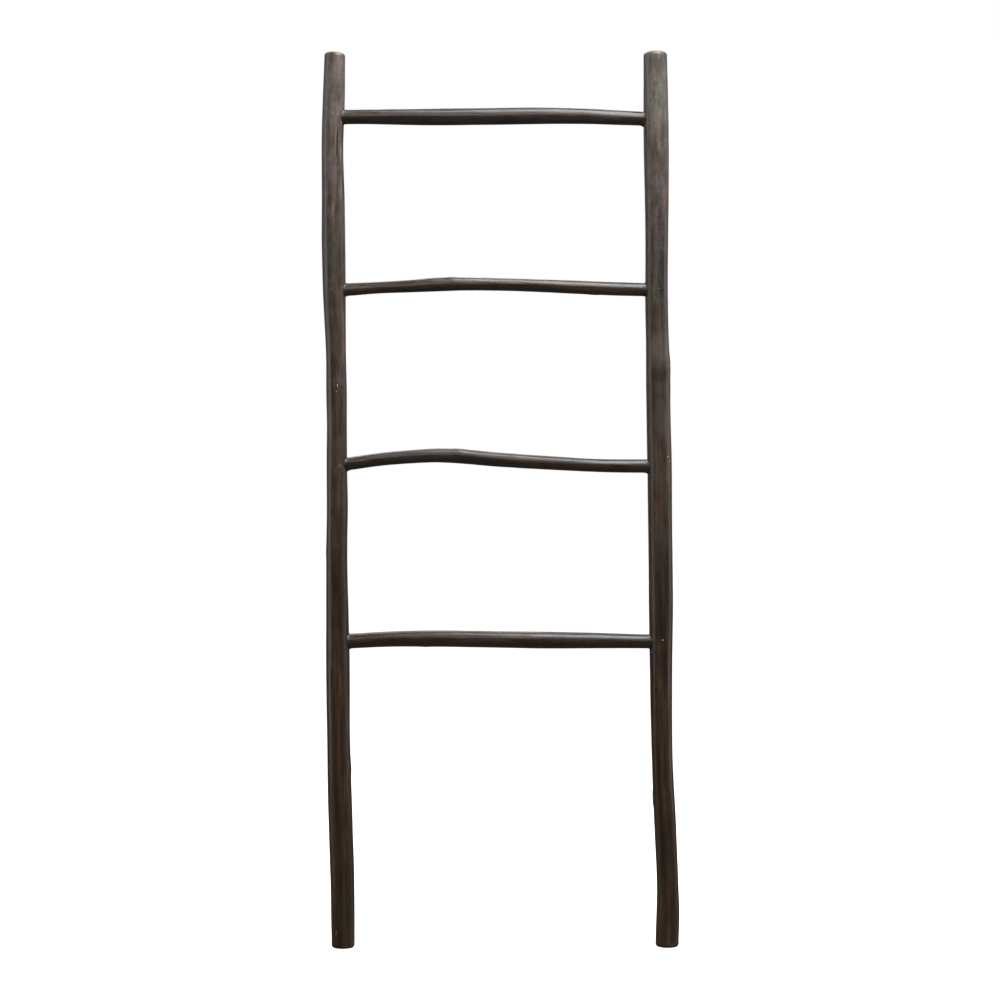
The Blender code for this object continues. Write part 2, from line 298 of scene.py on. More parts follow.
# %% Grow the rails
poles = {}
for rail in RAILS:
    places = np.arange(-RAIL_STEP, HEIGHT + 1.5 * RAIL_STEP, RAIL_STEP)
    pole = grow_tube(rail + "_branch", UPRIGHT, RAIL_SIDES, rings_along(lines[rail], places))
    smooth_skin(pole, 1)
    poles[rail] = pole
    print(pole.name, len(places), "rings,", len(pole.data.vertices), "points")

# %% [markdown]
# ## Knots, swellings and flutes
#
# Where a side branch was cut off, the wood closed over it: the pole swells over a hand's width
# and the middle of the swelling sinks in. Old strain leaves long shallow flutes. Each is one
# point, or a line of points, pulled in or out with proportional editing, which lets the wood
# around it follow.

# %% Push single places of a pole in or out
def around(name, table, height, angle):
    """The point on a pole's skin at a place and an angle, and the way out there.

    The angle is 0 at the front of a rail and grows towards +X; on a rung it grows upwards."""
    first, second, radius = smooth_read(table, np.array([height]))[0]
    turned = math.radians(angle)
    if AXIS[name] == UPRIGHT:
        out = Vector((math.sin(turned), -math.cos(turned), 0))
    else:
        out = Vector((0, -math.cos(turned), math.sin(turned)))
    return at_axis(AXIS[name], height, first, second) + out * float(radius), out


def push(name, table, way, depth, reach):
    """Moves the skin along a line of (place, angle) by depth, fading out over reach."""
    thing = poles[name]
    points = spots_of(thing)
    mask = np.zeros(len(points), bool)
    for height, angle in way:
        spot, out = around(name, table, height, angle)
        mask[np.linalg.norm(points - spot, axis=1).argmin()] = True
    middle_height, middle_angle = way[len(way) // 2]
    out = around(name, table, middle_height, middle_angle)[1]
    pick(thing, mask)
    bpy.ops.transform.translate(
        value=out * depth,
        use_proportional_edit=True,
        proportional_edit_falloff="SMOOTH",
        proportional_size=reach,
    )
    bpy.ops.object.mode_set(mode="OBJECT")


EYE_SHARE = 0.35
FLUTE_STEP = 0.006


def knot(name, height, angle, swell, reach, eye):
    """A swelling with a small sunken eye in its middle."""
    push(name, lines[name], [(height, angle)], swell, reach)
    push(name, lines[name], [(height, angle)], -eye, reach * EYE_SHARE)


def flute(name, low, high, angle_low, angle_high, depth, reach):
    """A long hollow between two heights, or a ridge where the depth is negative."""
    heights = np.arange(low, high, FLUTE_STEP)
    angles = np.linspace(angle_low, angle_high, len(heights))
    push(name, lines[name], list(zip(heights, angles)), -depth, reach)

# %% Knots, lumps and flutes of the rails
# Knots: place along the pole, angle round it, swelling, its reach, depth of the eye
RAIL_KNOTS = {
    "rail_left": [
        (1.126, 5, 0.0014, 0.022, 0.0018),
        (0.362, 75, 0.0014, 0.026, 0.0008),
        (1.530, 168, 0.0022, 0.026, 0.0020),
        (0.800, -140, 0.0026, 0.028, 0.0022),
        (0.215, 150, 0.0020, 0.022, 0.0016),
    ],
    "rail_right": [
        (0.985, 42, 0.0010, 0.016, 0.0012),
        (1.168, 82, 0.0014, 0.030, 0.0004),
        (1.400, -150, 0.0024, 0.026, 0.0020),
        (0.700, 160, 0.0028, 0.028, 0.0022),
        (0.300, -105, 0.0018, 0.024, 0.0016),
    ],
}
# Small lumps and pits round the left rail's middle knot: place, angle, push, reach
KNOT_LUMPS = [
    (1.1260, -33, 0.0009, 0.006),
    (1.1302, 10, 0.0008, 0.004),
    (1.1175, -2, -0.0010, 0.004),
    (1.1240, 30, -0.0008, 0.005),
]
# Flutes: lowest and highest place, angle at each, depth, reach
FLUTES = {
    "rail_left": [
        (1.470, 1.668, 27, 33, 0.0017, 0.0050),
        (1.446, 1.469, 26, 27, 0.0012, 0.0050),
        (1.424, 1.445, 25, 26, 0.0005, 0.0050),
        (1.480, 1.655, 68, 74, 0.0018, 0.0050),
        (1.485, 1.660, 46, 51, -0.0010, 0.0050),
        (1.130, 1.420, -6, 8, 0.0006, 0.007),
        (0.250, 0.560, -30, -22, 0.0006, 0.008),
        (0.900, 1.350, 150, 175, 0.0012, 0.009),
    ],
    "rail_right": [
        (1.300, 1.640, 8, 18, 0.0007, 0.009),
        (0.640, 0.940, 22, 30, 0.0006, 0.008),
        (0.150, 0.520, -28, -20, 0.0007, 0.008),
        (0.950, 1.300, 165, 190, 0.0012, 0.009),
    ],
}

for rail in RAILS:
    for row in RAIL_KNOTS[rail]:
        knot(rail, *row)
for height, angle, depth, reach in KNOT_LUMPS:
    push("rail_left", lines["rail_left"], [(height, angle)], depth, reach)
for rail in RAILS:
    for row in FLUTES[rail]:
        flute(rail, *row)
    print(rail, "has", len(RAIL_KNOTS[rail]), "knots and", len(FLUTES[rail]), "flutes")

# %% [markdown]
# ## The skin of peeled wood
#
# Under the bark a branch is never quite round: drawknife strokes and the run of the fibres leave
# long, low ripples. A Displace modifier moves the skin by a cloud texture. The texture is read
# through an empty that is stretched along the pole, so its clouds turn into streaks with the real
# width and length of the ripples.

# %% Ripple the skin
def ripple(thing, axis, width, length, depth, shift):
    """Moves the skin in and out by depth in streaks of a width and a length."""
    size = [width] * 3
    size[axis] = length
    only(thing)
    bpy.ops.object.empty_add(location=shift)
    guide = bpy.context.active_object
    guide.scale = size
    clouds = bpy.data.textures.new("ripple", "CLOUDS")
    clouds.noise_scale = 1.0
    clouds.noise_depth = 2
    bpy.context.view_layer.update()
    apply_modifier(
        thing, "DISPLACE", texture=clouds, texture_coords="OBJECT", texture_coords_object=guide,
        strength=depth, mid_level=0.5,
    )
    bpy.data.objects.remove(guide)


# Where in the cloud each pole lies, so that no two have the same ripples
SHIFTS = {
    "rail_left": (0.11, 0.2, 0.3),
    "rail_right": (0.47, 0.1, 0.7),
    "rung_top": (0.2, 0.5, 0.1),
    "rung_upper": (0.8, 0.3, 0.4),
    "rung_lower": (0.35, 0.7, 0.9),
    "rung_bottom": (0.6, 0.9, 0.2),
}
# Ripples: width, length, depth
RAIL_WAVES, RAIL_STROKES = (0.022, 0.30, 0.0016), (0.006, 0.10, 0.0005)
RUNG_WAVES, RUNG_STROKES = (0.014, 0.16, 0.0011), (0.004, 0.07, 0.0004)

for rail in RAILS:
    ripple(poles[rail], UPRIGHT, *RAIL_WAVES, SHIFTS[rail])
    smooth_skin(poles[rail], 1)
    ripple(poles[rail], UPRIGHT, *RAIL_STROKES, SHIFTS[rail])
    print(rail, "skin:", len(poles[rail].data.vertices), "points")

# %% [markdown]
# ## Sawn ends
#
# The rails are cut off with a saw and the rims are taken down with sandpaper, a few millimetres
# at the top and at the foot, so that they don't splinter when the ladder is dragged. A bisect
# cuts the tube a little short. Its open rim is then extruded over a quarter round, and on inwards
# as flat rings, which end in one point.

# %% Saw the rail ends
FOOT_ROUNDING, TOP_ROUNDING = 0.006, 0.007
TOP_SLANT = {"rail_left": 0.06, "rail_right": 0.0}
ROUND_STEPS, END_RINGS = 5, 6


def next_ring(centre, move, share):
    """Extrudes the selected rim by a move and draws it in to a share of its width."""
    bpy.ops.mesh.extrude_region_move(TRANSFORM_OT_translate={"value": move})
    bpy.ops.transform.resize(value=(share, share, share), center_override=centre)


def saw(thing, spot, normal, centre, radius, rounding):
    """Cuts a pole at a plane through a spot, and rounds and closes its end."""
    pick(thing, np.ones(len(thing.data.vertices)))
    short = Vector(spot) - normal * rounding
    bpy.ops.mesh.bisect(plane_co=short, plane_no=normal, clear_outer=True)
    inset, rise = 0.0, 0.0
    base = centre + normal * ((short - centre).dot(normal))
    for step in range(1, ROUND_STEPS + 1):
        turned = step / ROUND_STEPS * math.pi / 2
        next_inset = rounding * (1 - math.cos(turned))
        next_rise = rounding * math.sin(turned)
        share = (radius - next_inset) / (radius - inset)
        next_ring(base + normal * next_rise, normal * (next_rise - rise), share)
        inset, rise = next_inset, next_rise
    for ring in range(END_RINGS, 1, -1):
        next_ring(base + normal * rise, Vector((0, 0, 0)), (ring - 1) / ring)
    bpy.ops.mesh.merge(type="CENTER")
    bpy.ops.object.mode_set(mode="OBJECT")


for rail in RAILS:
    foot, top = smooth_read(lines[rail], np.array([0, HEIGHT]))
    foot_spot, top_spot = Vector((foot[0], foot[1], 0)), Vector((top[0], top[1], HEIGHT))
    saw(poles[rail], foot_spot, Vector((0, 0, -1)), foot_spot, foot[2], FOOT_ROUNDING)
    highest = top_spot - Vector((top[2], 0, 0))
    up = Vector((TOP_SLANT[rail], 0, 1)).normalized()
    saw(poles[rail], highest, up, top_spot, top[2], TOP_ROUNDING)
    print(rail, "from", spots_of(poles[rail])[:, 2].min().round(4),
          "to", spots_of(poles[rail])[:, 2].max().round(4))

# %% [markdown]
# ## Rungs with coped ends
#
# A rung keeps its full girth right up to the rail and its end is hollowed to the rail's curve,
# with a bead of stained filler round the joint. Inside, it goes on as a thinner round tenon.
# Shrinkwrap does the coping: it slides the end ring along the rung until each point lies on the
# rail.

# %% Grow the rungs
TENON_RADIUS = 0.012
SHOULDER = 0.014
INSIDE_MOUTH = 0.001
RUNG_SLICES = 70
PLAIN_START = 0.012
# The bead of filler: distance from the rail and how far it stands proud there
FILLER = ((0.0, 0.0013), (0.0012, 0.0006), (0.0028, 0.0002), (0.0055, 0.0))
FILLER_WEIGHT = (1.0, 0.7, 0.4, 0.15)

mouths = {}
for rung in RUNGS:
    faces = []
    for rail, side in (("rail_left", 1), ("rail_right", -1)):
        middle = smooth_read(lines[rail], np.array([joint_height[rung][rail]]))[0]
        faces.append(middle[0] + side * middle[2])
    left, right = faces
    mouths[rung] = (left, right)
    slices = np.linspace(left + INSIDE_MOUTH, right - INSIDE_MOUTH, RUNG_SLICES)
    table = measure_pole(rung, slices)
    inner = np.clip(table[:, 0], left + SHOULDER, right - SHOULDER)
    whole = table[(table[:, 0] > left + SHOULDER) & (table[:, 0] < right - SHOULDER)]
    table[:, 3] = np.interp(inner, whole[:, 0], whole[:, 3])
    lines[rung] = table
    ends = [offset for offset, _ in FILLER]
    plain = right - left - 2 * PLAIN_START
    body = np.linspace(left + PLAIN_START, right - PLAIN_START, round(plain / RUNG_STEP))
    places = np.array([left + e for e in ends] + list(body) + [right - e for e in ends[::-1]])
    rings = rings_along(table, places)
    for index, (_, swell) in enumerate(FILLER):
        rings[index, 3] += swell
        rings[-1 - index, 3] += swell
    pole = grow_tube(rung + "_branch", ACROSS, RUNG_SIDES, rings)
    poles[rung] = pole
    for group, first, step in (("left_end", 0, 1), ("right_end", len(places) - 1, -1)):
        chosen = pole.vertex_groups.new(name=group)
        for index, weight in enumerate(FILLER_WEIGHT):
            start = (first + index * step) * RUNG_SIDES
            chosen.add(list(range(start, start + RUNG_SIDES)), weight, "REPLACE")
    smooth_skin(pole, 1)
    print(rung, "from", round(left, 4), "to", round(right, 4), "in", len(places), "rings")

# %% Bumps and ripples on the rungs
RUNG_KNOTS = [
    ("rung_top", 0.035, 120, 0.0010, 0.016, 0.0010),
    ("rung_upper", -0.098, 60, 0.0012, 0.018, 0.0006),
    ("rung_upper", 0.190, -120, 0.0012, 0.016, 0.0008),
    ("rung_lower", -0.085, 70, 0.0012, 0.020, 0.0006),
    ("rung_lower", 0.120, 150, 0.0014, 0.016, 0.0012),
    ("rung_bottom", -0.150, -110, 0.0012, 0.018, 0.0010),
    ("rung_bottom", 0.060, 20, 0.0008, 0.018, 0.0006),
]
# Where the filler has sagged under a rung: rung, its left (0) or right (1) end, depth
SAGS = [
    ("rung_top", 1, 0.0024),
    ("rung_lower", 0, 0.0018),
    ("rung_lower", 1, 0.0010),
    ("rung_upper", 0, 0.0010),
    ("rung_bottom", 0, 0.0008),
]
SAG_REACH = 0.007
UNDERSIDE = -90

for row in RUNG_KNOTS:
    knot(*row)
for rung, end, depth in SAGS:
    place = mouths[rung][end] + (INSIDE_MOUTH if end == 0 else -INSIDE_MOUTH)
    push(rung, lines[rung], [(place, UNDERSIDE)], depth, SAG_REACH)

for rung in RUNGS:
    pole = poles[rung]
    ripple(pole, ACROSS, *RUNG_WAVES, SHIFTS[rung])
    smooth_skin(pole, 1)
    ripple(pole, ACROSS, *RUNG_STROKES, SHIFTS[rung])
    print(rung, "skin:", len(pole.data.vertices), "points")

# %% Find an open end
def end_ring(thing, place_low, place_high):
    """Edges along the open end that lies between two places on X."""
    mesh = thing.data
    count = {}
    for face in mesh.polygons:
        for key in face.edge_keys:
            count[key] = count.get(key, 0) + 1
    points = spots_of(thing)
    return [
        count.get(edge.key) == 1 and place_low < points[edge.vertices[0], 0] < place_high
        for edge in mesh.edges
    ]

# %% Cope each end, then draw out its tenon
COPE_GAP = 0.0003
COPE_LIMIT = 0.03
TIP_BEVEL, TIP_SHARE, TIP_RING = 0.001, 0.92, 0.006

for rung in RUNGS:
    pole = poles[rung]
    low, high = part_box(rung)
    left, right = mouths[rung]
    for rail, face, tip in (("rail_left", left, low.x), ("rail_right", right, high.x)):
        side = 1 if rail == "rail_right" else -1
        half = (0, 1) if side > 0 else (-1, 0)
        first, second, radius = smooth_read(lines[rung], np.array([face]))[0]
        centre = Vector((face, first, second))
        shrink = TENON_RADIUS / (radius + FILLER[0][1])
        pick(pole, end_ring(pole, *half), "edges")
        bpy.ops.mesh.extrude_region_move(TRANSFORM_OT_translate={"value": (0, 0, 0)})
        bpy.ops.transform.resize(value=(1, shrink, shrink), center_override=centre)
        bpy.ops.object.mode_set(mode="OBJECT")
        apply_modifier(
            pole, "SHRINKWRAP", target=poles[rail], wrap_method="PROJECT", use_project_x=True,
            use_project_y=False, use_project_z=False, use_negative_direction=True,
            use_positive_direction=True, project_limit=COPE_LIMIT, offset=COPE_GAP,
            vertex_group="left_end" if side < 0 else "right_end",
        )
        pick(pole, end_ring(pole, *half), "edges")
        bpy.ops.mesh.extrude_region_move(TRANSFORM_OT_translate={"value": (0, 0, 0)})
        flat = Vector((tip - side * TIP_BEVEL, first, second))
        bpy.ops.transform.resize(value=(0, 1, 1), center_override=flat)
        over = (side * TIP_BEVEL, 0, 0)
        bpy.ops.mesh.extrude_region_move(TRANSFORM_OT_translate={"value": over})
        bpy.ops.transform.resize(
            value=(1, TIP_SHARE, TIP_SHARE), center_override=Vector((tip, first, second))
        )
        bpy.ops.mesh.edge_face_add()
        bpy.ops.mesh.inset(thickness=TIP_RING)
        bpy.ops.mesh.poke()
        bpy.ops.mesh.select_all(action="SELECT")
        bpy.ops.mesh.normals_make_consistent(inside=False)
        bpy.ops.object.mode_set(mode="OBJECT")
    across = spots_of(pole)[:, 0]
    print(rung, "with its tenons from", across.min().round(4), "to", across.max().round(4))

# %% [markdown]
# ## Sockets and nail holes
#
# The rails are drilled before the ladder is put together: a blind hole for each tenon from the
# side, and a small one from the front for each nail, with a shallow seat for its head. Here one
# drill shape per hole is added as a cylinder, all of a rail's drills are joined, and one Boolean
# takes them out.

# %% Drill the rails
HOLE_GAP, SOCKET_END_GAP, NAIL_END_GAP = 0.0003, 0.001, 0.001
NAIL_SEAT_GAP, SEAT_DEPTH, SHANK_START = 0.00015, 0.0016, 0.0013
BARE_NAIL, BARE_SEAT_GAP = "nail_bottom_right", 0.0006
SHANK_SHARE = 0.55
DRILL_OUTSIDE, DRILL_SIDES = 0.010, 48
INWARDS = Vector((0, 1, 0))


def drill(radius, start, stop):
    """A cylinder between two points."""
    way = stop - start
    bpy.ops.mesh.primitive_cylinder_add(
        vertices=DRILL_SIDES, radius=radius, depth=way.length, location=(start + stop) / 2,
        rotation=way.to_track_quat("Z", "Y").to_euler(),
    )
    return bpy.context.active_object


def nail_place(nail):
    """Middle of a nail's head, its radius and its whole length."""
    low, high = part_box(nail)
    middle = (low + high) / 2
    return Vector((middle.x, low.y, middle.z)), (high.x - low.x) / 2, high.y - low.y


for rail in RAILS:
    drills = []
    side = -1 if rail == "rail_left" else 1
    for rung in RUNGS:
        low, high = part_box(rung)
        tip = low.x if side < 0 else high.x
        face = mouths[rung][0 if side < 0 else 1]
        first, second, _ = smooth_read(lines[rung], np.array([face]))[0]
        start = Vector((face - side * DRILL_OUTSIDE, first, second))
        stop = Vector((tip + side * SOCKET_END_GAP, first, second))
        drills.append(drill(TENON_RADIUS + HOLE_GAP, start, stop))
        nail = rung.replace("rung", "nail") + rail.replace("rail", "")
        head, head_radius, length = nail_place(nail)
        gap = BARE_SEAT_GAP if nail == BARE_NAIL else NAIL_SEAT_GAP
        for radius, from_head, to_head in (
            (head_radius + gap, -DRILL_OUTSIDE, SEAT_DEPTH),
            (head_radius * SHANK_SHARE + HOLE_GAP, SHANK_START, length + NAIL_END_GAP),
        ):
            drills.append(drill(radius, head + INWARDS * from_head, head + INWARDS * to_head))
    bpy.ops.object.select_all(action="DESELECT")
    for one in drills:
        one.select_set(True)
    bpy.context.view_layer.objects.active = drills[0]
    bpy.ops.object.join()
    tool = bpy.context.active_object
    apply_modifier(poles[rail], "BOOLEAN", object=tool, operation="DIFFERENCE", solver="MANIFOLD")
    bpy.data.objects.remove(tool)
    print(rail, "drilled:", len(poles[rail].data.vertices), "points")

# %% [markdown]
# ## Nails
#
# One wire nail pins each tenon. It is drawn once: a low cylinder for the head, whose back face is
# inset and extruded into the shank and drawn to a point, and whose front rim is rounded. Then it is
# copied to its eight holes, each copy with its own mesh.

# %% Draw one nail and set eight
HEAD_THICKNESS = 0.0010
HEAD_SIDES, HEAD_ROUNDING, HEAD_DOME = 32, 0.00035, 0.00015
POINT_LENGTH, POINT_SHARE = 0.004, 0.05
NAILS = sorted(name for name in frame["nodes"] if name.startswith("nail_"))
_, head_radius, nail_length = nail_place(NAILS[0])


def pick_facing(thing, way):
    """Goes to edit mode with just the faces that look along a way selected."""
    only(thing)
    pick(thing, [face.normal.dot(way) > 0.99 for face in thing.data.polygons], "polygons")


bpy.ops.object.select_all(action="DESELECT")
bpy.ops.mesh.primitive_cylinder_add(
    vertices=HEAD_SIDES, radius=head_radius, depth=HEAD_THICKNESS,
    location=(0, HEAD_THICKNESS / 2, 0), rotation=(math.pi / 2, 0, 0),
)
nail = bpy.context.active_object
bpy.ops.object.transform_apply(location=True, rotation=True, scale=True)
pick_facing(nail, INWARDS)
bpy.ops.mesh.inset(thickness=head_radius * (1 - SHANK_SHARE))
shank = nail_length - HEAD_THICKNESS - POINT_LENGTH
for length in (shank, POINT_LENGTH):
    bpy.ops.mesh.extrude_region_move(TRANSFORM_OT_translate={"value": INWARDS * length})
bpy.ops.transform.resize(
    value=(POINT_SHARE, 1, POINT_SHARE), center_override=INWARDS * (nail_length - HEAD_THICKNESS)
)
pick_facing(nail, -INWARDS)
bpy.ops.mesh.bevel(offset=HEAD_ROUNDING, segments=3, affect="EDGES")
pick_facing(nail, -INWARDS)
bpy.ops.mesh.inset(thickness=head_radius * 0.4)
bpy.ops.transform.translate(value=-INWARDS * HEAD_DOME)
bpy.ops.object.mode_set(mode="OBJECT")

nails = {}
for node in NAILS:
    only(nail)
    bpy.ops.object.duplicate()
    copy = bpy.context.active_object
    copy.name = copy.data.name = node + "_wire"
    copy.location = nail_place(node)[0]
    bpy.ops.object.transform_apply(location=True, rotation=True, scale=True)
    nails[node] = copy
bpy.data.objects.remove(nail)
print(len(nails), "nails,", len(copy.data.vertices), "points each")

# %% [markdown]
# ## Where the grain runs
#
# Grain follows the branch, not the room. Each point of a pole therefore keeps as an attribute
# where it lies across the pole, measured from the middle line, and how far along the pole it is.
# A material that reads it has streaks that bend with the wood, and rings that close on the sawn
# ends. Two more attributes say how far the skin stands out there and how near a joint it is, for
# stain gathers in hollows, shade is painted into them and light onto what stands out, and filler
# lies at joints.

# %% Write the grain, relief and joint attributes
SMOOTH_ANGLE = math.radians(35)
END_ZONE = 0.008
FAR_FROM_JOINT = 0.020
INNER_SIDE = 0.2
MOST_RELIEF = 0.0015


def write_numbers(thing, name, kind, numbers):
    """Keeps one number or one vector for each point of a mesh."""
    layer = thing.data.attributes.new(name, kind, "POINT")
    field = "vector" if kind == "FLOAT_VECTOR" else "value"
    layer.data.foreach_set(field, numbers.astype(np.float32).ravel())


def skin_of(name, thing):
    """Points of a pole, their offsets from its middle line, and its measured radius there."""
    points = spots_of(thing)
    axis = AXIS[name]
    middle = smooth_read(lines[name], points[:, axis])
    return points, np.delete(points, axis, axis=1) - middle[:, :2], middle[:, 2]


def joint_distance(name, points, across, radius):
    """How far each point lies from the nearest joint's edge, up to FAR_FROM_JOINT."""
    nearest = np.full(len(points), FAR_FROM_JOINT)
    if name in RUNGS:
        for rail in RAILS:
            middle = smooth_read(lines[rail], points[:, 2])
            reach = np.hypot(points[:, 0] - middle[:, 0], points[:, 1] - middle[:, 1])
            nearest = np.minimum(nearest, reach - middle[:, 2])
        return nearest.clip(0)
    side = 1 if name == "rail_left" else -1
    inner = side * across[:, 0] > INNER_SIDE * radius
    for rung in RUNGS:
        face = mouths[rung][0 if side > 0 else 1]
        first, second, girth = smooth_read(lines[rung], np.array([face]))[0]
        away = np.hypot(points[:, 1] - first, points[:, 2] - second) - girth
        nearest = np.where(inner, np.minimum(nearest, away), nearest)
    return nearest.clip(0)


for name, pole in poles.items():
    points, across, radius = skin_of(name, pole)
    relief = (np.hypot(*across.T) - radius).clip(-MOST_RELIEF, MOST_RELIEF)
    if name in RAILS:
        relief[np.minimum(points[:, 2], HEIGHT - points[:, 2]) < END_ZONE] = 0
    grain = np.column_stack((across, points[:, AXIS[name]]))
    write_numbers(pole, "grain", "FLOAT_VECTOR", grain)
    write_numbers(pole, "relief", "FLOAT", relief)
    write_numbers(pole, "joint", "FLOAT", joint_distance(name, points, across, radius))
    only(pole)
    bpy.ops.object.shade_smooth_by_angle(angle=SMOOTH_ANGLE)
    print(name, "relief from", relief.min().round(4), "to", relief.max().round(4))
for copy in nails.values():
    only(copy)
    bpy.ops.object.shade_smooth_by_angle(angle=SMOOTH_ANGLE)

# %% [markdown]
# ## Nodes
#
# A material is a graph of nodes. One small function adds a node with its settings: what an input
# gets is a link from another node or a plain value. A second one lays one colour over another, as
# a coat.

# %% Colours and the one node helper
MM = 0.001
NOISE, MAPPING, ATTRIBUTE = "ShaderNodeTexNoise", "ShaderNodeMapping", "ShaderNodeAttribute"
MATH, VECTOR_MATH, MIX = "ShaderNodeMath", "ShaderNodeVectorMath", "ShaderNodeMix"
RAMP, RANGE, SPLIT = "ShaderNodeValToRGB", "ShaderNodeMapRange", "ShaderNodeSeparateXYZ"
COORDINATES, LIGHT_PATH = "ShaderNodeTexCoord", "ShaderNodeLightPath"
SMOOTH = {"interpolation_type": "SMOOTHSTEP"}
# Sockets of the colour Mix node: its share, what lies under, what lies over, and the result
SHARE, UNDER, OVER, MIXED = 0, 6, 7, 2


def linear(hex_colour):
    """An sRGB hex colour as linear red, green, blue and a full alpha."""
    parts = [int(hex_colour[k:k + 2], 16) / 255 for k in (1, 3, 5)]
    return (*[p / 12.92 if p <= 0.04045 else ((p + 0.055) / 1.055) ** 2.4 for p in parts], 1.0)


def add(tree, kind, inputs=(), stops=(), **settings):
    """Adds a node. Inputs are linked or set, stops are a ramp's places with their colours."""
    node = tree.nodes.new(kind)
    for name, value in settings.items():
        setattr(node, name, value)
    for key, value in dict(inputs).items():
        if isinstance(value, bpy.types.NodeSocket):
            tree.links.new(value, node.inputs[key])
        else:
            node.inputs[key].default_value = value
    if stops:
        elements = node.color_ramp.elements
        elements[0].position, elements[0].color = stops[0]
        elements[1].position, elements[1].color = stops[-1]
        for where, colour in stops[1:-1]:
            elements.new(where).color = colour
    return node


def new_material(name):
    """A material with its node tree and its shader."""
    material = bpy.data.materials.new(name)
    material.use_nodes = True
    return material, material.node_tree, material.node_tree.nodes["Principled BSDF"]


def coat(tree, under, over, value, limits):
    """Lays one colour over another by a value, read through a Map Range's limits."""
    share = add(tree, RANGE, {0: value, **limits}, **SMOOTH).outputs[0]
    inputs = {SHARE: share, UNDER: under, OVER: over}
    return add(tree, MIX, inputs, data_type="RGBA").outputs[MIXED]


def wear(thing, material):
    """Gives a mesh this material alone."""
    thing.data.materials.clear()
    thing.data.materials.append(material)


print("mid grey in linear light:", round(linear("#808080")[0], 3))

# %% [markdown]
# ## Stained and waxed branch wood
#
# The poles are peeled branches of a pale hardwood, brushed with a dark brown stain and then
# waxed. Stain sinks deep into the soft early wood and hardly into the dense late wood, so the
# surface shows long streaks of umber and grey brown. Wax fills the pores and gives a soft satin
# light. The streaks are noise stretched along the grain, pushed to and fro a little, as fibres
# wander round knots.

# %% Grain and its streaks
# The wandering: its width and length in mm, and how far it pushes the streaks
DRIFT, SWING = (60, 160), (9 * MM, 9 * MM, 20 * MM)


def stretched(tree, vector, shift, width, length):
    """Where a noise lies whose lumps are this wide and this long in millimetres."""
    scale = (1 / (width * MM), 1 / (width * MM), 1 / (length * MM))
    spread = add(tree, MAPPING, {0: vector, "Location": shift, "Scale": scale})
    return spread.outputs[0]


def wandering_grain(tree, shift):
    """The grain attribute, its wandering copy, and the noise it wanders by."""
    grain = add(tree, ATTRIBUTE, attribute_name="grain").outputs["Vector"]
    place = stretched(tree, grain, shift, *DRIFT)
    drift = add(tree, NOISE, {"Vector": place, "Scale": 1.0, "Detail": 1.0})
    centred = add(tree, VECTOR_MATH, {0: drift.outputs["Color"], 1: (0.5, 0.5, 0.5)},
                  operation="SUBTRACT")
    swing = add(tree, VECTOR_MATH, {0: centred.outputs[0], 1: SWING}, operation="MULTIPLY")
    wavy = add(tree, VECTOR_MATH, {0: grain, 1: swing.outputs[0]}, operation="ADD")
    return grain, wavy.outputs[0], drift.outputs[0]


# Width and length of each pattern in mm, its detail and its roughness. Real fibres and pores are
# a tenth of a millimetre wide; they are drawn at 2 mm so that they still show from across a room.
PATTERNS = {
    "bands": (8, 150, 3.0, 0.55),
    "patches": (24, 60, 2.0, 0.55),
    "fibres": (2.2, 30, 3.0, 0.65),
    "pores": (2.4, 11, 2.0, 0.55),
    "cloud": (14, 45, 3.0, 0.6),
    "mottle": (3.5, 9, 2.0, 0.6),
    "strokes": (15, 190, 2.0, 0.55),
    "furrows": (3.0, 60, 2.0, 0.55),
}


def wood_patterns(tree, wavy, shift):
    """One noise for each pattern of the wood."""
    patterns = {}
    for name, (width, length, detail, rough) in PATTERNS.items():
        place = stretched(tree, wavy, shift, width, length)
        settings = {"Vector": place, "Scale": 1.0, "Detail": detail, "Roughness": rough}
        patterns[name] = add(tree, NOISE, settings).outputs[0]
    return patterns


print("patterns of the wood:", ", ".join(PATTERNS))

# %% [markdown]
# The stain itself is three tones in long bands. Patches, fibres and pores multiply it, and so does
# the skin's relief: the hollows, where stain stays wet longest and dries darkest, also get painted
# shade, and what stands out gets painted light.

# %% Stain
RAIL_TONES = ("#24160C", "#372616", "#4D3C2B")
RUNG_TONES = ("#1D140D", "#2D2119", "#3D332B")
TONE_PLACES = (0.34, 0.50, 0.68)
# Pattern, then two places on its noise with the share of the colour that is left there
STAIN_LAYERS = [
    ("patches", (0.35, 0.78), (0.65, 1.12)),
    ("fibres", (0.36, 0.80), (0.62, 1.10)),
    ("pores", (0.30, 0.62), (0.40, 1.0)),
]
# Map Range inputs after its value: from low, from high, to low, to high
HOLLOW_SHADE_LIMITS = {1: -1.0 * MM, 2: 0.6 * MM, 3: 0.45, 4: 1.25}


def grey(value):
    """A grey of this linear strength."""
    return (value, value, value, 1)


def stain(tree, patterns, tones):
    """Umber and grey brown in streaks: the colour that sank into the wood, with painted shade in
    the hollows and painted light on the rises.
    """
    stops = list(zip(TONE_PLACES, map(linear, tones)))
    colour = add(tree, RAMP, {0: patterns["bands"]}, stops).outputs[0]
    layers = []
    for name, *places in STAIN_LAYERS:
        stops = [(place, grey(value)) for place, value in places]
        layers.append(add(tree, RAMP, {0: patterns[name]}, stops).outputs[0])
    relief = add(tree, ATTRIBUTE, attribute_name="relief").outputs["Fac"]
    # Darker in hollows and paler where the skin stands out: pooled stain, with painted shade in the
    # hollows and painted light on the rises.
    hollow = add(tree, RANGE, {0: relief, **HOLLOW_SHADE_LIMITS}, **SMOOTH)
    for layer in (*layers, hollow.outputs[0]):
        colour = add(tree, MIX, {SHARE: 1.0, UNDER: colour, OVER: layer},
                     data_type="RGBA", blend_type="MULTIPLY").outputs[MIXED]
    return colour


print(len(STAIN_LAYERS) + 1, "layers over the stain")
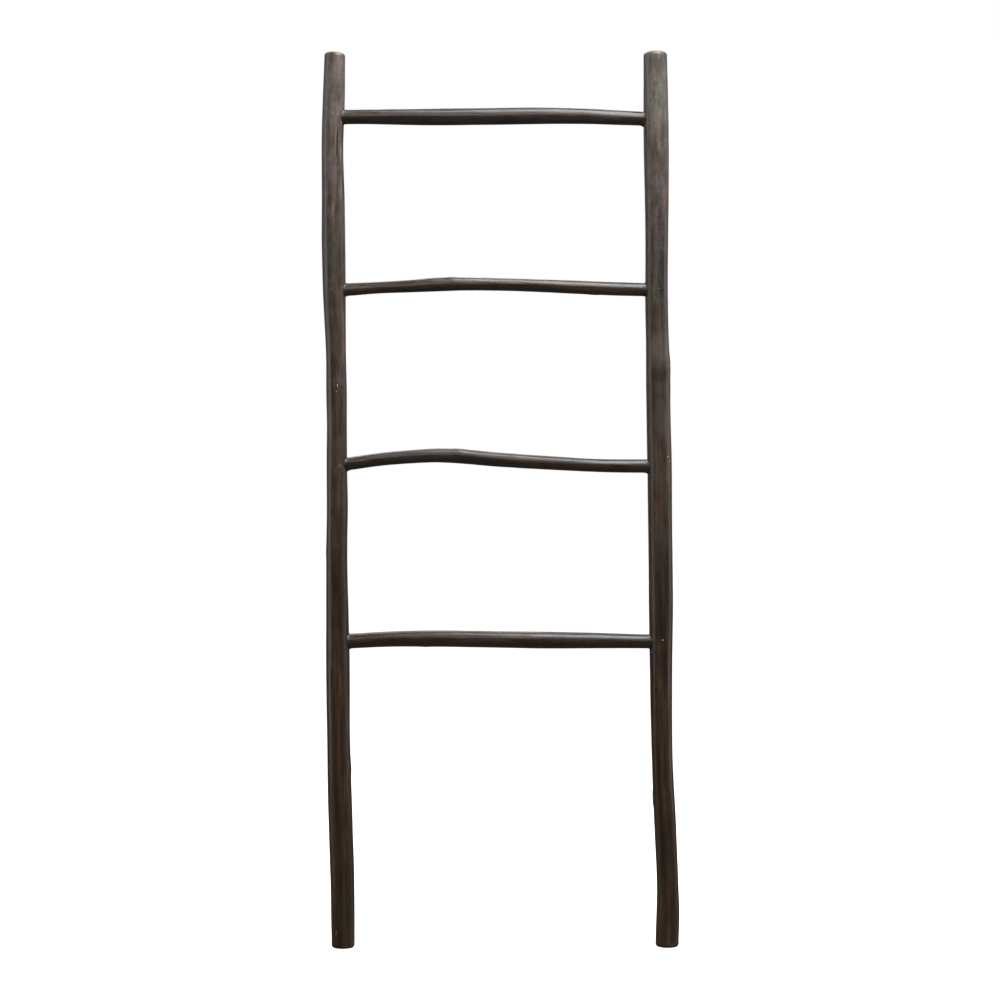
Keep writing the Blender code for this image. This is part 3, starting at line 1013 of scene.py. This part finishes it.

# %% [markdown]
# Wax that isn't buffed off dries to a dull mauve and green grey bloom. On the rails the film is
# laid on thicker toward the top and thinner lower down, and that is painted light: a grey sheen for
# the light from above, so the eye gets a dusty grey film there and a deep brown below.

# %% Wax bloom
RAIL_BLOOM_AND_SHEEN, RUNG_BLOOM = 0.55, 0.05
MAUVE_BLOOM_AND_SHEEN, GREEN_BLOOM_AND_SHEEN = "#847A7A", "#73746F"
CLOUD_LIMITS = {1: 0.32, 2: 0.68, 3: 0.36, 4: 1.04}
MOTTLE_LIMITS = {1: 0.3, 2: 0.7, 3: 0.62, 4: 1.16}
STROKE_LIMITS = {1: 0.44, 2: 0.56, 3: 0.0, 4: 1.0}
# How much grey film lies on at a share of the ladder's height: more toward the top, as painted
# sheen
BLOOM_AND_SHEEN_BY_HEIGHT = [(0.30, grey(0.04)), (0.50, grey(0.18)), (0.75, grey(0.35)), (1.0, grey(1.0))]


def wax_bloom_and_top_sheen(tree, colour, patterns, grain, upright):
    """Lays a dusty film of wax over the colour; on the rails it grows toward the top as painted
    sheen.
    """
    cloud = add(tree, RANGE, {0: patterns["cloud"], **CLOUD_LIMITS}, **SMOOTH)
    mottle = add(tree, RANGE, {0: patterns["mottle"], **MOTTLE_LIMITS}, **SMOOTH)
    dusty = add(tree, MATH, {0: cloud.outputs[0], 1: mottle.outputs[0]}, operation="MULTIPLY")
    most = RAIL_BLOOM_AND_SHEEN if upright else RUNG_BLOOM
    share = add(tree, MATH, {0: dusty.outputs[0], 1: most}, operation="MULTIPLY")
    # On the rails the film grows toward the top: this is painted sheen, standing in for the light
    # from above.
    if upright:
        along = add(tree, SPLIT, {0: grain}).outputs[2]
        height = add(tree, MATH, {0: along, 1: HEIGHT}, operation="DIVIDE")
        left = add(tree, RAMP, {0: height.outputs[0]}, BLOOM_AND_SHEEN_BY_HEIGHT)
        share = add(tree, MATH, {0: share.outputs[0], 1: left.outputs[0]}, operation="MULTIPLY")
    mauve, green = linear(MAUVE_BLOOM_AND_SHEEN), linear(GREEN_BLOOM_AND_SHEEN)
    tint = coat(tree, mauve, green, patterns["strokes"], STROKE_LIMITS)
    inputs = {SHARE: share.outputs[0], UNDER: colour, OVER: tint}
    return add(tree, MIX, inputs, data_type="RGBA").outputs[MIXED]


print("most bloom on rails and rungs:", RAIL_BLOOM_AND_SHEEN, RUNG_BLOOM)

# %% [markdown]
# A sawn end shows year rings. They are drawn 1.7 mm apart, about twice as coarse as in a real
# branch, so that they can be told apart.

# %% Sawn ends
END_DARK, END_PALE = "#1E150E", "#3A2C21"
RING_STEP, RING_WAVER = 1.7 * MM, 4 * MM
END_LIMITS = {1: 0.80, 2: 0.95, 3: 0.0, 4: 1.0}


def sawn_ends(tree, colour, grain, drift, axis):
    """Puts year rings where the skin faces along the pole."""
    radial = add(tree, VECTOR_MATH, {0: grain, 1: (1, 1, 0)}, operation="MULTIPLY")
    reach = add(tree, VECTOR_MATH, {0: radial.outputs[0]}, operation="LENGTH")
    waver = add(tree, MATH, {0: drift, 1: RING_WAVER}, operation="MULTIPLY")
    ringed = add(tree, MATH, {0: reach.outputs["Value"], 1: waver.outputs[0]}, operation="ADD")
    turn = {0: ringed.outputs[0], 1: math.tau / RING_STEP}
    turned = add(tree, MATH, turn, operation="MULTIPLY")
    wave = add(tree, MATH, {0: turned.outputs[0]}, operation="SINE")
    stops = [(0.0, linear(END_DARK)), (1.0, linear(END_PALE))]
    end_wood = add(tree, RAMP, {0: wave.outputs[0]}, stops)
    normal = add(tree, "ShaderNodeNewGeometry").outputs["Normal"]
    facing = add(tree, SPLIT, {0: normal}).outputs[axis]
    straight = add(tree, MATH, {0: facing}, operation="ABSOLUTE")
    return coat(tree, colour, end_wood.outputs[0], straight.outputs[0], END_LIMITS)


print("year rings", round(RING_STEP / MM, 1), "mm apart")

# %% [markdown]
# Round each joint lies a bead of filler, nearly black and matt, wiped off by hand to a ragged
# edge. Knots, groove bottoms, bare spots, soot patches, painted shadows and painted highlights are
# single marks: stretched balls round a point of the skin, with a mottled edge.

# %% Filler and single marks
FILLER_AND_SHADOW_BROWN = "#150D08"
FRAY = 3.0 * MM
FILLER_LIMITS = {1: -1.2 * MM, 2: 1.0 * MM, 3: 0.85, 4: 0.0}
MATT_LIMITS = {1: -1.2 * MM, 2: 1.0 * MM, 3: 0.35, 4: 0.0}
MARK_EDGE, MARK_FRAY = (0.9, 1.5), 0.8


def filler_edge(tree, patterns):
    """The distance from the nearest joint with a ragged edge."""
    joint = add(tree, ATTRIBUTE, attribute_name="joint").outputs["Fac"]
    ragged = add(tree, MATH, {0: patterns["mottle"], 1: FRAY}, operation="MULTIPLY")
    frayed = add(tree, MATH, {0: joint, 1: ragged.outputs[0]}, operation="SUBTRACT")
    return frayed.outputs[0]


def marked(tree, colour, patterns, marks):
    """Lays the single marks over the colour, one after another."""
    place = add(tree, COORDINATES).outputs["Object"]
    fray = add(tree, MATH, {0: patterns["mottle"], 1: MARK_FRAY}, operation="MULTIPLY")
    for spot, size, hex_colour, strength in marks:
        scale = tuple(1 / s for s in size)
        location = tuple(-p / s for p, s in zip(spot, size))
        fitted = add(tree, MAPPING, {0: place, "Location": location, "Scale": scale})
        away = add(tree, VECTOR_MATH, {0: fitted.outputs[0]}, operation="LENGTH")
        edge = add(tree, MATH, {0: away.outputs["Value"], 1: fray.outputs[0]}, operation="ADD")
        limits = {1: MARK_EDGE[0], 2: MARK_EDGE[1], 3: strength, 4: 0.0}
        colour = coat(tree, colour, linear(hex_colour), edge.outputs[0], limits)
    return colour


print("filler fades out", round(FILLER_LIMITS[2] / MM, 1), "mm from a joint")

# %% [markdown]
# Waxed wood shines softly: the rungs are worn smoother than the rails, and filler takes no shine at
# all. The grain stands up a little, which breaks the highlight into threads along the pole.

# %% The whole wood
RAIL_GLOSS = {1: 0.3, 2: 0.7, 3: 0.30, 4: 0.42}
RUNG_GLOSS = {1: 0.3, 2: 0.7, 3: 0.27, 4: 0.36}
WAX_IOR = 1.5
FURROW_DEPTH, FIBRE_DEPTH, BUMP_STRENGTH = 0.4 * MM, 0.2 * MM, 0.4


def stained_wood(name, axis, shift, tones, marks):
    """Dark stained, waxed branch wood: a satin brown with streaks, bloom, painted shade in hollows,
    painted sheen toward the top, and dark joints.
    """
    material, tree, shader = new_material(name)
    upright = axis == UPRIGHT
    grain, wavy, drift = wandering_grain(tree, shift)
    patterns = wood_patterns(tree, wavy, shift)
    frayed = filler_edge(tree, patterns)
    colour = stain(tree, patterns, tones)
    colour = wax_bloom_and_top_sheen(tree, colour, patterns, grain, upright)
    colour = sawn_ends(tree, colour, grain, drift, axis)
    colour = coat(tree, colour, linear(FILLER_AND_SHADOW_BROWN), frayed, FILLER_LIMITS)
    tree.links.new(marked(tree, colour, patterns, marks), shader.inputs["Base Color"])

    gloss = {0: patterns["cloud"], **(RAIL_GLOSS if upright else RUNG_GLOSS)}
    satin = add(tree, RANGE, gloss, **SMOOTH)
    matt = add(tree, RANGE, {0: frayed, **MATT_LIMITS}, **SMOOTH)
    dull = add(tree, MATH, {0: satin.outputs[0], 1: matt.outputs[0]}, operation="ADD")
    tree.links.new(dull.outputs[0], shader.inputs["Roughness"])
    shader.inputs["IOR"].default_value = WAX_IOR

    skin = {}
    for pattern, depth in (("furrows", FURROW_DEPTH), ("fibres", FIBRE_DEPTH)):
        inputs = {"Height": patterns[pattern], "Strength": BUMP_STRENGTH, "Distance": depth}
        skin = {"Normal": add(tree, "ShaderNodeBump", inputs | skin).outputs[0]}
    tree.links.new(skin["Normal"], shader.inputs["Normal"])
    return material


print("roughness of the rails from", RAIL_GLOSS[3], "to", RAIL_GLOSS[4])

# %% [markdown]
# Knots and cracks are black with stain. Groove bottoms are darkened as painted shade, and the ridge
# between them is paled as a painted highlight. Small spots of bare wood show at two knots, with
# painted glints on them. Soot patches are where the brush was lifted. The same dark brown below a
# knot and below a swelling is painted shadow, a pale patch above the swelling is painted light, and
# a dark patch below the top rung's end is filler and painted shadow.

# %% Marks
# The dark, soot and bare wood colours also paint groove shade, shadows and glints, and the three
# pale colours below paint highlights and light.
KNOT_DARK_AND_GROOVE_SHADE, BARE_WOOD_AND_GLINT, PALE_BARK, SOOT_AND_SHADOW = "#120B07", "#D8CDBD", "#7D6C5E", "#241B14"
PAINTED_RIDGE_HIGHLIGHT, PAINTED_RIDGE_END_HIGHLIGHT, PAINTED_SWELLING_LIGHT = "#98938D", "#8F8A84", "#7A756E"
# Place along the pole, angle round it, length along and width across in mm, colour, strength
MARKS = {
    "rail_left": [
        # The middle knot, its specks and lump, the painted shadow below it, and its bare spots with
        # painted glints
        (1.1258, 5, 4.5, 4, KNOT_DARK_AND_GROOVE_SHADE, 0.8),
        (1.1268, 28, 2, 1.6, KNOT_DARK_AND_GROOVE_SHADE, 0.8),
        (1.1240, 38, 1.6, 1.4, KNOT_DARK_AND_GROOVE_SHADE, 0.8),
        (1.1178, 22, 1.8, 1.4, KNOT_DARK_AND_GROOVE_SHADE, 0.8),
        (1.1208, -12, 1.8, 1.5, KNOT_DARK_AND_GROOVE_SHADE, 0.7),
        (1.1168, -24, 1.5, 1.3, KNOT_DARK_AND_GROOVE_SHADE, 0.7),
        (1.1260, -33, 3, 2.6, PALE_BARK, 0.55),
        (1.0950, 4, 26, 15, SOOT_AND_SHADOW, 0.3),
        (1.1302, 9, 2.2, 1.3, BARE_WOOD_AND_GLINT, 0.95),
        (1.1262, 10, 1.9, 1.2, BARE_WOOD_AND_GLINT, 0.95),
        (1.1186, 8, 1.2, 0.9, BARE_WOOD_AND_GLINT, 0.8),
        (1.1168, 1, 1.1, 0.9, BARE_WOOD_AND_GLINT, 0.8),
        # Cracks above it, and a rubbed spot
        (1.1640, -3, 26, 1, KNOT_DARK_AND_GROOVE_SHADE, 0.55),
        (1.1750, 12, 30, 1, KNOT_DARK_AND_GROOVE_SHADE, 0.5),
        (1.1560, 20, 18, 0.9, KNOT_DARK_AND_GROOVE_SHADE, 0.5),
        (0.9687, 22, 5, 6, PALE_BARK, 0.3),
        # Soot patches
        (1.7300, 25, 8, 3, SOOT_AND_SHADOW, 0.45),
        (1.6450, -14, 10, 3, SOOT_AND_SHADOW, 0.4),
        (1.5000, -3, 9, 6, SOOT_AND_SHADOW, 0.4),
        # Bottoms of the two grooves darkened as painted shade, and the ridge between them paled as
        # a painted highlight
        (1.6060, 32, 45, 3.2, KNOT_DARK_AND_GROOVE_SHADE, 0.85),
        (1.5300, 30, 40, 2.8, KNOT_DARK_AND_GROOVE_SHADE, 0.6),
        (1.6200, 71, 45, 4, KNOT_DARK_AND_GROOVE_SHADE, 0.8),
        (1.5400, 72, 45, 3.4, KNOT_DARK_AND_GROOVE_SHADE, 0.6),
        (1.6000, 51, 50, 1.8, PAINTED_RIDGE_HIGHLIGHT, 0.6),
        (1.5250, 50, 40, 1.6, PAINTED_RIDGE_END_HIGHLIGHT, 0.4),
        # Scuffs of the foot, and the other knots
        (0.0330, -32, 7, 1.2, PALE_BARK, 0.9),
        (0.0227, -25, 3, 1, PALE_BARK, 0.7),
        (0.362, 75, 5, 5, KNOT_DARK_AND_GROOVE_SHADE, 0.8),
        (1.530, 168, 8, 6, KNOT_DARK_AND_GROOVE_SHADE, 0.85),
        (0.800, -140, 9, 7, KNOT_DARK_AND_GROOVE_SHADE, 0.85),
        (0.215, 150, 7, 5.5, KNOT_DARK_AND_GROOVE_SHADE, 0.85),
    ],
    "rail_right": [
        # Soot patches, and a small knot with its bare spots and painted glints
        (1.7330, -8, 8, 5, SOOT_AND_SHADOW, 0.4),
        (1.7750, 0, 24, 7, SOOT_AND_SHADOW, 0.25),
        (0.9863, 39, 1.8, 1.5, BARE_WOOD_AND_GLINT, 0.75),
        (0.9768, 50, 1.5, 1.3, BARE_WOOD_AND_GLINT, 0.65),
        (0.9865, 25, 1.6, 1.4, KNOT_DARK_AND_GROOVE_SHADE, 0.8),
        # The broad swelling, with painted shadow below it and painted light above it, and single
        # spots
        (1.1500, 14, 17, 30, SOOT_AND_SHADOW, 0.45),
        (1.2080, 12, 34, 30, PAINTED_SWELLING_LIGHT, 0.16),
        (0.5947, -55, 4, 4, PALE_BARK, 0.35),
        (0.6194, 4, 5, 5, KNOT_DARK_AND_GROOVE_SHADE, 0.75),
        (1.1060, 9, 2.5, 2.5, KNOT_DARK_AND_GROOVE_SHADE, 0.5),
        # A dark patch below the top rung's end, filler and painted shadow, a scuff of the foot, and
        # the other knots
        (1.6361, -58, 9, 4, FILLER_AND_SHADOW_BROWN, 0.7),
        (0.0060, 22, 1.5, 6, PALE_BARK, 0.6),
        (1.400, -150, 9, 7, KNOT_DARK_AND_GROOVE_SHADE, 0.85),
        (0.700, 160, 10, 7, KNOT_DARK_AND_GROOVE_SHADE, 0.85),
        (0.300, -105, 8, 6, KNOT_DARK_AND_GROOVE_SHADE, 0.85),
    ],
    "rung_top": [(0.035, 120, 5, 4, KNOT_DARK_AND_GROOVE_SHADE, 0.8)],
    "rung_upper": [
        (-0.098, 60, 4, 3, KNOT_DARK_AND_GROOVE_SHADE, 0.5),
        (0.190, -120, 5, 4, KNOT_DARK_AND_GROOVE_SHADE, 0.8),
    ],
    "rung_lower": [
        (-0.085, 70, 4, 3, KNOT_DARK_AND_GROOVE_SHADE, 0.5),
        (0.120, 150, 5, 4, KNOT_DARK_AND_GROOVE_SHADE, 0.8),
    ],
    "rung_bottom": [
        (-0.150, -110, 5, 4, KNOT_DARK_AND_GROOVE_SHADE, 0.8),
        (0.060, 20, 3, 2, KNOT_DARK_AND_GROOVE_SHADE, 0.5),
    ],
}


def placed(name, marks):
    """The marks with their places as points, and their sizes along X, Y and Z in metres."""
    result = []
    for along, angle, length, width, hex_colour, strength in marks:
        spot = tuple(around(name, lines[name], along, angle)[0])
        size = [width * MM] * 3
        size[AXIS[name]] = length * MM
        result.append((spot, tuple(size), hex_colour, strength))
    return result


print({name: len(marks) for name, marks in MARKS.items()})

# %% Stain the poles
BODY = "root" if "root" in frame["bodies"] else list(frame["bodies"])[0]
for name, pole in poles.items():
    tones = RAIL_TONES if name in RAILS else RUNG_TONES
    marks = placed(name, MARKS[name])
    wood = stained_wood("stained_branch_" + name, AXIS[name], SHIFTS[name], tones, marks)
    wear(pole, wood)
    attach(pole, BODY)
    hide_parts(name)
    print(name, "wears", wood.name, "with", len(wood.node_tree.nodes), "nodes")

# %% [markdown]
# ## Nail steel
#
# The nails are mild steel wire, brushed over with the same stain as the wood. It dries on steel
# as a thin blotchy film, so a head is a dull dot with little of the metal's own shine: hence a
# low Metallic. One head is paler where the film has worn. The others are tinted lighter the higher
# they sit, which is painted light from above.

# %% Stained steel
FILM_BROWN, WORN_STEEL = "#241A13", "#B9AA98"
# Nails higher up get lighter tints: painted light from above, for the stain film is the same on all
# of them.
NAIL_TINTS_SHADED_BY_HEIGHT = {"top": "#8A827C", "upper": "#6C625A", "lower": "#554539", "bottom": "#48392D"}
FILM_PLACES, FILM_BLOTCH = (0.35, 0.65), 0.9 * MM


def stained_steel(name, hex_colour, shift):
    """Steel under a worn film of stain: a dull, blotchy dot."""
    material, tree, shader = new_material(name)
    place = add(tree, COORDINATES).outputs["Object"]
    spread = add(tree, MAPPING, {0: place, "Location": shift}).outputs[0]
    mottle = add(tree, NOISE, {"Vector": spread, "Scale": 1 / FILM_BLOTCH, "Detail": 3.0})
    stops = list(zip(FILM_PLACES, (linear(FILM_BROWN), linear(hex_colour))))
    film = add(tree, RAMP, {0: mottle.outputs[0]}, stops)
    tree.links.new(film.outputs[0], shader.inputs["Base Color"])
    shader.inputs["Metallic"].default_value = 0.2
    shader.inputs["Roughness"].default_value = 0.45
    return material


for node, copy in nails.items():
    tint = WORN_STEEL if node == BARE_NAIL else NAIL_TINTS_SHADED_BY_HEIGHT[node.split("_")[1]]
    wear(copy, stained_steel("stained_steel_" + node, tint, tuple(copy.data.vertices[0].co)))
    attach(copy, BODY)
    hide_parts(node)
print(len(nails), "nails wear stained steel")

# %% [markdown]
# ## Floor
#
# The ladder stands on a pale matt floor in a white room. To the eye the floor gives off a light
# of its own, so it is seen nearly white. The ladder gets only a dim light back from it. Light
# Path tells the two apart.

# %% Floor
FLOOR_SIZE = 60
FLOOR_WHITE, FLOOR_BOUNCE = "#F4F4F4", "#71685D"
bpy.ops.object.select_all(action="DESELECT")
bpy.ops.mesh.primitive_plane_add(size=FLOOR_SIZE, location=(0, 0, 0))
floor = bpy.context.active_object
floor.name = "floor"
white, tree, shader = new_material("pale_floor")
shader.inputs["Base Color"].default_value = linear(FLOOR_WHITE)
shader.inputs["Roughness"].default_value = 0.9
shader.inputs["Specular IOR Level"].default_value = 0.1
shader.inputs["Emission Color"].default_value = (1, 1, 1, 1)
shader.inputs["Emission Strength"].default_value = 0.9
dim = add(tree, "ShaderNodeBsdfDiffuse", {"Color": linear(FLOOR_BOUNCE)})
seen = add(tree, LIGHT_PATH).outputs["Is Camera Ray"]
shown = add(tree, "ShaderNodeMixShader", {0: seen, 1: dim.outputs[0], 2: shader.outputs[0]})
tree.links.new(shown.outputs[0], tree.nodes["Material Output"].inputs["Surface"])
floor.data.materials.append(white)
print("floor", FLOOR_SIZE, "m wide, wears", white.name)

# %% [markdown]
# ## Light
#
# Round, dark, waxed poles show the shape of their lamps. A large softbox above and to the right
# draws the long highlights; weaker ones in front and at both sides keep the poles round, and one
# behind rims them. Radiance is a lamp's brightness per area, so a lamp can be resized and stays
# as bright.

# %% Softboxes
# Name, place, the point it faces, width, depth, radiance
SOFTBOXES = [
    ("overhead_softbox", (0.75, -0.92, 3.05), (0.20, -0.15, 0.9), 1.5, 2.1, 10.8),
    ("front_softbox", (-0.3, -2.8, 2.7), (0.0, 0.0, 1.3), 1.6, 0.8, 3.0),
    ("left_softbox", (-1.8, -0.15, 1.25), (-0.3, 0.0, 1.0), 0.8, 2.4, 1.7),
    ("right_softbox", (1.9, 0.1, 0.9), (0.3, 0.0, 0.8), 0.7, 2.2, 1.3),
    ("rear_softbox", (-0.5, 2.1, 3.3), (0.0, 0.0, 0.9), 1.8, 1.2, 3.8),
]

for name, spot, target, width, depth, radiance in SOFTBOXES:
    bpy.ops.object.light_add(type="AREA", location=spot)
    box = bpy.context.active_object
    box.name = name
    box.data.shape = "RECTANGLE"
    box.data.size, box.data.size_y = width, depth
    box.data.energy = radiance * math.pi * width * depth
    box.rotation_euler = (Vector(target) - Vector(spot)).to_track_quat("-Z", "Y").to_euler()
    print(name, round(box.data.energy, 1), "W")

# %% [markdown]
# The walls of the room are white to the eye. They light the ladder only faintly, a little more from
# behind it, where the room is brighter.

# %% White room
# Map Range inputs: where along Y the walls get brighter, and their light in front and behind
WALL_LIMITS = {1: -0.3, 2: 0.6, 3: 0.16, 4: 0.30}
room = bpy.data.worlds.new("white_room")
bpy.context.scene.world = room
room.use_nodes = True
tree = room.node_tree
background = tree.nodes["Background"]
facing = add(tree, SPLIT, {0: add(tree, COORDINATES).outputs["Generated"]}).outputs[1]
behind = add(tree, RANGE, {0: facing, **WALL_LIMITS})
seen = add(tree, LIGHT_PATH).outputs["Is Camera Ray"]
strength = add(tree, MIX, {0: seen, 2: behind.outputs[0], 3: 1.0}, data_type="FLOAT")
tree.links.new(strength.outputs[0], background.inputs["Strength"])
background.inputs["Color"].default_value = (1, 1, 1, 1)
print("walls give", WALL_LIMITS[3], "in front and", WALL_LIMITS[4], "behind")
